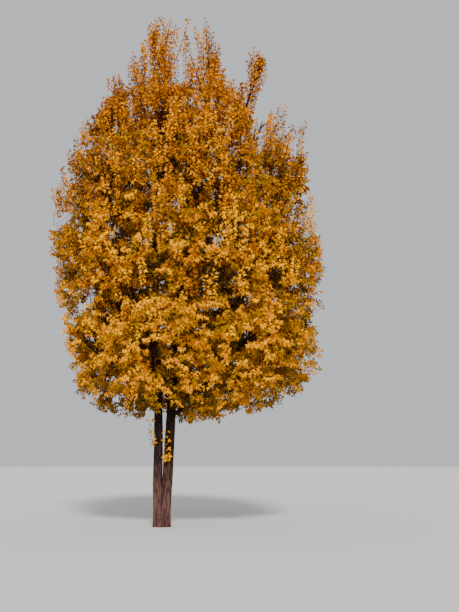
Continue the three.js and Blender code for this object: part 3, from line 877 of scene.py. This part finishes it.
def bark_material():
    """Furrowed bark, darker in its furrows, partly its own colour and partly painted shade, lighter
    at the foot, with a fine grain.
    """
    material, shader = new_material("bark", BARK_ROUGHNESS, BARK_SPECULAR)
    tree = material.node_tree

    def add(kind, output, inputs, **settings):
        """A node's output. Of its inputs, sockets are linked and values are set."""
        node = tree.nodes.new("ShaderNode" + kind)
        for name, value in settings.items():
            setattr(node, name, value)
        for name, given in inputs.items():
            if isinstance(given, bpy.types.NodeSocket):
                tree.links.new(given, node.inputs[name])
            else:
                node.inputs[name].default_value = given
        return node.outputs[output]

    def blend(a, b, factor):
        return add("Mix", "Result", {"A": a, "B": b, "Factor": factor}, data_type="RGBA")

    def ramp(value, low, high):
        return add("MapRange", "Result", {"Value": value, "From Min": low, "From Max": high})

    place = add("TexCoord", "Object", {})
    stretched = add("Mapping", "Vector", {"Vector": place, "Scale": GRAIN_STRETCH})
    grain = add("TexNoise", "Fac", {"Vector": stretched, **FINE_GRAIN})
    patches = add("TexNoise", "Fac", {"Vector": stretched, **BARK_PATCHES})
    furrow = add("Attribute", "Fac", {}, attribute_name="furrow")
    lower = ramp(add("SeparateXYZ", "Z", {"Vector": place}), *FOOT_FADES)
    ridge = blend(linear(BARK_RIDGE), linear(BARK_FOOT), lower)
    crack = blend(linear(BARK_FURROW), linear(FOOT_FURROW), lower)
    dark = add("Math", "Value", {0: furrow, 1: FURROWS_DARKEN, 2: grain}, operation="MULTIPLY_ADD")
    darker = add("Math", "Value", {0: dark, 1: patches}, operation="ADD")
    colour = blend(ridge, crack, ramp(darker, *DARK_BETWEEN))
    bump = add("Bump", "Normal", {"Height": grain, **BARK_BUMP})
    tree.links.new(colour, shader.inputs["Base Color"])
    tree.links.new(bump, shader.inputs["Normal"])
    return material


# Growth

def habits_of(masses, twigs):
    return np.array([m.habit for m in masses])[twigs.mass]


def habit_values(masses, twigs, name):
    return np.array([getattr(HABITS[m.habit], name) for m in masses])[twigs.mass]


def finer_growth(masses):
    """The side twigs of every mass: those of the model, and as many between them."""
    groups = []
    for mass in masses:
        draw = seeded(mass.number + 1)
        start, way, room = side_twigs(mass, masses, draw, mass.pairs, 0)
        finer_start, finer_way, finer_room = side_twigs(mass, masses, draw, FINER_TWIG_PAIRS, 0.5)
        starts = [start, finer_start, mass.axis.curve.at(1)[None]]
        ways = [way, finer_way, mass.axis.aim[None]]
        lengths = [MODEL_TWIG_LENGTH * room, FINER_TWIG_LENGTH * finer_room, [AXIS_END * mass.leaf]]
        if mass.slim:
            shares = np.linspace(*SLIM_TWIG_SHARES, SLIM_TWIGS)
            along = mass.limb.curve.way(shares)
            starts.append(mass.limb.curve.at(shares))
            ways.append(branching(along, np.arange(SLIM_TWIGS) * GOLDEN_ANGLE, SLIM_TWIG_SPREAD))
            lengths.append(np.linspace(*SLIM_TWIG_LENGTHS, SLIM_TWIGS))
        length = np.maximum(np.concatenate(lengths), SHORTEST_TWIG)
        sag = TOP_TWIG_BEND if mass.habit == "top" else TWIG_SAG * (2 * mass.lift - SAG_ENDS)
        bend = np.tile(UP * sag, (len(length), 1))
        number = np.full(len(length), mass.number)
        groups.append(Twigs(np.concatenate(starts), np.concatenate(ways), length, bend, number))
    return joined(groups)


def buried(points):
    """How deep points are in the closed foliage, from its sides, its underside and its top."""
    deep = closed_depth(points)
    for shift in (-BELOW_TOP, BELOW_TOP):
        deep = np.minimum(deep, closed_depth(points + shift * UP) + COUNTS_AS)
    return deep


def edge_of(points, rng):
    """How far inside the outline growth ends at these points, so that the outline is ragged."""
    ragged = np.interp(points[:, 2], RAGGED_HEIGHTS, (RAGGED, RAGGED_AT_TOP))
    return rng.uniform(*CROWN_EDGE, len(points)) + ragged * np.maximum(patchiness(points), 0)


def patchiness(points):
    """Patches of lighter and darker sprays, from -1 to 1."""
    return np.array([noise.noise(Vector(p / PATCH_SIZE)) for p in points])


def spray_places(masses, rng):
    """Places for sprays all through the crown, and the mass that each belongs to."""
    heights, left, right, depth = CROWN_OUTLINE.T
    spans = [(left.min(), right.max()), (-depth.max(), depth.max())]
    spans.append((heights[0], CLOSED_TOP[:, 1].max()))
    steps = [np.arange(low, high, SPRAY_SPACING) for low, high in spans]
    places = np.stack(np.meshgrid(*steps, indexing="ij"), -1).reshape(-1, 3)
    places += SPRAY_JITTER * SPRAY_SPACING * rng.uniform(-1, 1, places.shape)
    kept = closed_depth(places) > edge_of(places, rng)
    kept &= patchiness(places + GAPS_SHIFTED) > GAP_BELOW
    common = np.interp(buried(places), SPRAYS_GET_SCARCE, (1, SCARCEST))
    kept &= rng.random(len(places)) < common
    places = places[kept]
    middles = np.array([m.middle for m in masses])
    radii = np.array([m.radius for m in masses])
    nearest = np.linalg.norm(places[:, None] - middles, axis=2) ** 2 - radii**2
    nearest[:, [m.slim for m in masses]] = np.inf
    return places, nearest.argmin(axis=1)


def carriers_of(masses, twigs):
    """Points that sprays may grow on, the way the wood runs there, and the mass it is in."""
    points = [twigs.at(share) for share in TWIG_CARRIES]
    ways = [twigs.way_at(share) for share in TWIG_CARRIES]
    numbers = [twigs.mass] * len(TWIG_CARRIES)
    for mass in masses:
        bough = [(mass.limb.curve, BOUGH_CARRIES)] if mass.bough else []
        for curve, shares in [*bough, (mass.axis.curve, AXIS_CARRIES)]:
            points.append(curve.at(shares))
            ways.append(curve.way(shares))
            numbers.append(np.full(len(shares), mass.number))
    return np.concatenate(points), np.concatenate(ways), np.concatenate(numbers)


def spray_twigs(masses, twigs, rng):
    """Twigs that grow from the nearest wood of a mass to the places of its sprays."""
    places, numbers = spray_places(masses, rng)
    points, ways, of = carriers_of(masses, twigs)
    grown = []
    waiting = np.ones(len(places), bool)
    for reach in SPRAY_REACHES:
        for number in range(len(masses)):
            want = np.flatnonzero(waiting & (numbers == number))
            have = np.flatnonzero(of == number)
            out = places[want][:, None] - points[have]
            far = np.linalg.norm(out, axis=2)
            along = np.einsum("ijk,jk->ij", out, ways[have]) / np.maximum(far, 1e-6)
            cost = far * (COST_ACROSS - along) + COST_TOO_NEAR * (far < TOO_NEAR)
            best = cost.argmin(axis=1)
            near = far[np.arange(len(want)), best] < reach
            start, tip = points[have][best[near]], places[want][near]
            length = np.linalg.norm(tip - start, axis=1)
            straight = (tip - start) / length[:, None]
            way = unit(straight + SPRAY_TWIG_FOLLOWS * ways[have][best[near]])
            mass = np.full(len(length), number)
            grown.append(Twigs(start, way, length, straight - way, mass))
            waiting[want[near]] = False
        new = joined(grown)
        for share in SPRAY_TWIG_CARRIES:
            points = np.concatenate([points, new.at(share)])
            ways = np.concatenate([ways, new.way_at(share)])
            of = np.concatenate([of, new.mass])
    return joined(grown)


def forks(on, share, order, length, masses, rng):
    """A pair of branchlets on each twig. Those of a flat spray keep to its plane."""
    upturn = BRANCHLET_UPTURN * habit_values(masses, on, "upturn") - BRANCHLET_SAG
    flat = habit_values(masses, on, "flat")
    start, along = on.at(share), on.way_at(share)
    pair = []
    for side in (0, math.pi):
        turn = side + order * math.pi / 2 * (rng.random(len(on)) > flat)
        turn = turn + BRANCHLET_TURN_VARIES * rng.standard_normal(len(on))
        spread = BRANCHLET_SPREAD + BRANCHLET_SPREAD_VARIES * rng.standard_normal(len(on))
        way = unit(branching(along, turn, spread) + upturn[:, None] * UP)
        size = length * rng.uniform(*BRANCHLET_SIZES, len(on))
        pair.append(Twigs(start, way, size, np.zeros_like(way), on.mass))
    return pair


def branchlets_of(twigs, masses, rng):
    """The branchlets at the end of each twig: one at its tip and pairs before it."""
    each = np.arange(len(twigs))
    size = SPRAY_TIP * rng.uniform(*SPRAY_TIP_SIZES, len(twigs))
    start = twigs.at(SPRAY_TIP_ROOT)
    groups = [Twigs(start, twigs.way_at(1), size, np.zeros_like(start), twigs.mass)]
    owners = [each]
    for order, (before, length) in enumerate(SPRAY_FORKS):
        share = np.maximum(1 - before / twigs.length, FIRST_FORK)
        groups += forks(twigs, share, order, length, masses, rng)
        owners += [each, each]
    return joined(groups), np.concatenate(owners)


def outward_at(points):
    """Level directions away from the crown's middle line."""
    return unit((points - CROWN_MIDDLE) * [1, 1, 0])


def plumes_on(sprays, masses, rng):
    """Upright leafy shoots from the tips of these twigs. At the top they may reach the outline."""
    foot = sprays.at(1)
    leans = outward_at(foot) + PLUME_LEAN_VARIES * rng.standard_normal(foot.shape)
    way = unit(UP + PLUME_LEANS * leans)
    room = np.zeros(len(foot))
    for _ in range(int(TOP_PLUME_LENGTH / PLUME_STEP)):
        tips = foot + way * (room + PLUME_STEP)[:, None]
        room += PLUME_STEP * (plumes_depth(tips, masses) > PLUME_EDGE)
    tall = np.isin(habits_of(masses, sprays), ("upper", "top"))
    length = np.where(tall, room * rng.uniform(*TOP_PLUME_SHARES, len(foot)), room)
    longest = np.where(tall, np.inf, rng.uniform(*PLUME_LENGTHS, len(foot)))
    length = np.maximum(np.minimum(length, longest), SHORTEST_PLUME)
    return Twigs(foot, way, length, np.zeros_like(foot), sprays.mass)


def fit_in_crown(twigs, edge, depth_at):
    """Shortens twigs that leave the crown, and says which of them are still worth having."""
    full = twigs.length
    for _ in range(SHORTENED_TIMES):
        outside = depth_at(twigs.at(1)) < edge
        twigs.length = np.where(outside, twigs.length * SHORTENED_TO, twigs.length)
    return twigs.length > WORTH_HAVING * full


def painted_shade_and_tone_at(points):
    """How lit foliage is painted. It is darker deep inside, low down and at the sides as painted
    shade, deep inside partly also the olive that inner leaves keep, and in patches at random.
    """
    deep = np.minimum(closed_depth(points), closed_depth(points + UP) + COUNTS_AS)
    left, right, _ = crown_at(points[:, 2])
    across = np.abs(2 * (points[:, 0] - left) / (right - left) - 1)
    shade = DEPTH_SHADE * np.maximum(deep, 0)
    shade += UNDERSIDE_SHADE * np.interp(points[:, 2], UNDERSIDE, (1, 0))
    shade += SIDE_SHADE * np.interp(across, TOWARDS_SIDES, (0, 1))
    return OPEN_LIGHT - shade + PATCH_LIGHT * patchiness(points)


def tints_of(twigs, lighter, branchlets, owners, masses, rng):
    """A tint for each branchlet, by how lit its place is painted and how much lighter its twig is
    than others, so that shaded places get darker tints as painted shade. Those of one spray tend to
    match."""
    of_twig = painted_shade_and_tone_at(twigs.at(1)) + lighter
    of_twig += TWIG_VARIES * rng.standard_normal(len(twigs))
    own = painted_shade_and_tone_at(branchlets.at(LIT_AT)) + lighter[owners]
    own += BRANCHLET_VARIES * rng.standard_normal(len(branchlets))
    value = np.clip(mix(of_twig[owners], own, BRANCHLET_SHARE), 0, LIGHTEST)
    tints = np.empty(len(branchlets), "<U16")
    habits = habits_of(masses, branchlets)
    for name, habit in HABITS.items():
        which = habits == name
        scale = np.array(habit.tints)
        tints[which] = scale[(value[which] * len(scale)).astype(int)]
    return tints


def leaves_on(branchlets, masses, rng):
    """Leaves in opposite pairs along branchlets, and one at each tip."""
    step = habit_values(masses, branchlets, "leaf_step")
    pairs = np.maximum((branchlets.length * (1 - BARE_SHARE) / step).round().astype(int), 1)
    each = np.arange(len(branchlets))
    owner = np.repeat(each, pairs)
    order = np.concatenate([np.arange(n) for n in pairs])
    share = BARE_SHARE + (1 - BARE_SHARE) * (order + FIRST_PAIR) / pairs[owner]
    on = branchlets.pick(owner)
    node, along = on.at(share), on.way_at(share)
    ways = []
    for side in (0, math.pi):
        turn = side + order * math.pi / 2 + PETIOLE_TURN_VARIES * rng.standard_normal(len(on))
        spread = PETIOLE_SPREAD + PETIOLE_SPREAD_VARIES * rng.standard_normal(len(on))
        ways.append(branching(along, turn, spread))
    roots = np.concatenate([node, node, branchlets.at(1)])
    ways = np.concatenate([*ways, branchlets.way_at(1)])
    return roots, ways, np.concatenate([owner, owner, each])


def add_leaves(skin, roots, ways, sizes, hang, rng):
    """Lobed leaves on their stalks. They hang, and face out of the crown and a little up."""
    count = len(roots)
    bases = roots + ways * (PETIOLE * sizes)[:, None]
    shake = LEAF_SHAKE * rng.standard_normal((count, 3))
    hang = hang * rng.uniform(*HANG_VARIES, count)
    along = unit(ways - UP * hang[:, None] + shake)
    outward, upward, varies = LEAF_FACES
    face = outward * outward_at(roots) + upward * UP
    face = unit(face + varies * rng.standard_normal((count, 3)))
    across = unit(np.cross(along, face))
    normal = np.cross(across, along)
    half = np.array(LEAF_OUTLINE)
    flat = np.concatenate([[[0, 0]], half, [[0, 1]], half[::-1] * [-1, 1]])
    rise = LEAF_FOLD * np.abs(flat[:, 0]) - LEAF_DROOP * flat[:, 1] ** 2
    blade = (
        bases[:, None]
        + (across[:, None] * flat[:, :1] + along[:, None] * flat[:, 1:]) * sizes[:, None, None]
        + normal[:, None] * rise[:, None] * sizes[:, None, None]
    )
    stalk = roots[:, None] + across[:, None] * np.array([[-1.0], [1.0]]) * PETIOLE_RADIUS
    points = np.concatenate([blade, stalk], axis=1)
    corners = np.arange(1, len(flat) - 1)
    fan = np.stack([0 * corners, corners, corners + 1], -1)
    one = np.concatenate([fan, [[len(flat), len(flat) + 1, 0]]])
    starts = np.arange(count) * points.shape[1]
    skin.add(points, one + starts[:, None, None])


# The scene

def set_camera():
    data = bpy.data.cameras.new("camera")
    data.lens = LENS_MM
    data.sensor_fit = "VERTICAL"
    data.sensor_height = SENSOR_HEIGHT_MM
    data.clip_end = CAMERA_CLIP_END
    camera = placed("camera", data)
    camera.location = CAMERA_PLACE
    camera.rotation_euler = (math.pi / 2 + CAMERA_PITCH, 0, 0)
    bpy.context.scene.camera = camera


def add_lamp(name, come_from, strength, softness):
    lamp = bpy.data.lights.new(name, "SUN")
    lamp.energy = strength
    lamp.angle = softness
    holder = placed(name, lamp)
    holder.rotation_mode = "QUATERNION"
    holder.rotation_quaternion = Vector(come_from).to_track_quat("Z", "Y")


def set_stage():
    """A wide pale floor, a pale sky, a soft key light and a weak fill."""
    rim = [FLOOR_RADIUS * polar(angle) for angle in all_round(FLOOR_SIDES)]
    mesh = bpy.data.meshes.new("floor")
    mesh.from_pydata(rim, [], [list(range(FLOOR_SIDES))])
    mesh.materials.append(plain_material("floor", FLOOR_COLOUR, FLOOR_ROUGHNESS))
    placed("floor", mesh)

    world = bpy.data.worlds.new("sky")
    world.use_nodes = True
    background = world.node_tree.nodes["Background"]
    background.inputs["Color"].default_value = linear(SKY_COLOUR)
    background.inputs["Strength"].default_value = SKY_STRENGTH
    bpy.context.scene.world = world

    add_lamp("key", KEY_FROM, KEY_STRENGTH, KEY_SOFTNESS)
    add_lamp("fill", FILL_FROM, FILL_STRENGTH, FILL_SOFTNESS)


def set_bark(stems, masses):
    bark = bark_material()
    piece_of("foot_bark", foot_skin(), bark, ["trunk"])
    for name, stem in stems.items():
        skin = Skin()
        limb_skin(skin, stem, STEM_SIDES, STEM_RING_STEP, upright=True, seed=1)
        piece_of(f"stem_{name}_bark", skin, bark, [f"stem_{name}"])
    skin = Skin()
    boughs = [mass for mass in masses if mass.bough]
    for seed, mass in enumerate(boughs):
        limb_skin(skin, mass.limb, BOUGH_SIDES, BOUGH_RING_STEP, upright=False, seed=seed + 2)
    piece_of("boughs_bark", skin, bark, [mass.bough for mass in boughs])


def set_crown(masses, leaf_materials, twig_material):
    rng = np.random.default_rng(CROWN_SEED)
    twigs = finer_growth(masses)
    in_top = habits_of(masses, twigs) == "top"
    side, top_twigs = twigs.pick(~in_top), twigs.pick(in_top)
    fit_in_crown(side, CROWN_EDGE[1], closed_depth)
    fit_in_crown(top_twigs, PLUME_EDGE, lambda points: plumes_depth(points, masses))
    twigs = joined([side, top_twigs])
    seeking = spray_twigs(masses, twigs, rng)
    upright = rng.random(len(seeking)) < habit_values(masses, seeking, "plumes")
    sprays = joined([seeking.pick(~upright), side])
    plumes = plumes_on(seeking.pick(upright), masses, rng)
    on_sprays, of_spray = branchlets_of(sprays, masses, rng)
    kept = fit_in_crown(on_sprays, edge_of(on_sprays.start, rng), closed_depth)
    on_sprays, of_spray = on_sprays.pick(kept), of_spray[kept]

    carriers = joined([sprays, plumes, top_twigs])
    branchlets = joined([on_sprays, plumes, top_twigs])
    owners = np.concatenate([of_spray, np.arange(len(sprays), len(carriers))])
    lighter = np.zeros(len(carriers))
    lighter[len(sprays) : len(sprays) + len(plumes)] = PLUME_LIGHT
    tints = tints_of(carriers, lighter, branchlets, owners, masses, rng)
    roots, ways, on = leaves_on(branchlets, masses, rng)
    widened = np.interp(buried(branchlets.start), LEAVES_WIDEN, (1, SHADE_LEAF))
    size = (habit_values(masses, branchlets, "leaf") * widened)[on]
    size *= rng.uniform(*LEAF_SIZES, len(on))
    hang = habit_values(masses, branchlets, "hang")[on]
    habit, tint_of = habits_of(masses, branchlets)[on], tints[on]

    wood = [(twigs, TWIG_WOOD), (seeking, SPRAY_TWIG_WOOD)]
    wood += [(plumes, PLUME_WOOD), (on_sprays, BRANCHLET_WOOD)]
    for name in HABITS:
        members = [m for m in masses if m.habit == name]
        nodes = [m.node for m in members]
        skin = Skin()
        for mass in members:
            add_wood(skin, mass.axis.curve, AXIS_WOOD)
        for grown, kind in wood:
            add_wood(skin, grown.pick(habits_of(masses, grown) == name), kind)
        piece_of(f"twigs_{name}", skin, twig_material, nodes)
        for tint, (_, slot) in TINTS.items():
            which = (habit == name) & (tint_of == tint)
            if not which.any():
                continue
            skin = Skin()
            add_leaves(skin, roots[which], ways[which], size[which], hang[which], rng)
            material = leaf_materials[tint]
            piece_of(f"leaves_{name}_{tint}", skin, material, nodes, smooth=False)


def set_shoots(stems, leaf_material, twig_material):
    """Thin leafy shoots that leave the bare stems and grow up beside them."""
    rng = np.random.default_rng(SHOOTS_SEED)
    wood, leaves = Skin(), Skin()
    shares = np.linspace(*SHOOT_LEAVES_FROM_TO, SHOOT_LEAF_PAIRS)
    for shoot in SHOOTS:
        stem = stems[shoot.stem]
        t = stem.share(shoot.height)
        outward = polar(math.radians(shoot.azimuth))
        root = stem.curve.at(t) + outward * stem.radius(t) * SHOOT_ROOT
        out = root + outward * (stem.radius(t) * (1 - SHOOT_ROOT) + SHOOT_STANDS_OFF)
        bend = out + SHOOT_BEND * UP
        way = unit(UP + outward * shoot.lean)
        curve = Bezier(root, out, bend, bend + way * shoot.length)
        add_wood(wood, curve, SHOOT_WOOD)
        for side in (0, math.pi):
            turn = side + np.arange(SHOOT_LEAF_PAIRS) * math.pi / 2
            ways = branching(curve.way(shares), turn, PETIOLE_SPREAD)
            sizes = SHOOT_LEAF * rng.uniform(*SHOOT_LEAF_SIZES, SHOOT_LEAF_PAIRS)
            add_leaves(leaves, curve.at(shares), ways, sizes, SHOOT_LEAF_HANG, rng)
    nodes = [f"shoot_{shoot.stem}" for shoot in SHOOTS]
    piece_of("twigs_shoots", wood, twig_material, nodes)
    piece_of("leaves_shoots", leaves, leaf_material, nodes, smooth=False)


def main():
    set_camera()
    set_stage()
    stems = {name: stem_of(sizes) for name, sizes in STEMS.items()}
    masses = masses_of(stems)
    for mass in masses:
        mass.limb = bough_of(mass, stems, masses) if mass.bough else stems[mass.stem]
        mass.axis = axis_of(mass, masses)
    leaf_materials = {
        tint: plain_material(f"leaf_{tint}", colour, LEAF_ROUGHNESS)
        for tint, (colour, _) in TINTS.items()
    }
    twig_material = plain_material("twig", TWIG_COLOUR, TWIG_ROUGHNESS)
    set_bark(stems, masses)
    set_crown(masses, leaf_materials, twig_material)
    set_shoots(stems, leaf_materials["gold_bright"], twig_material)


main()
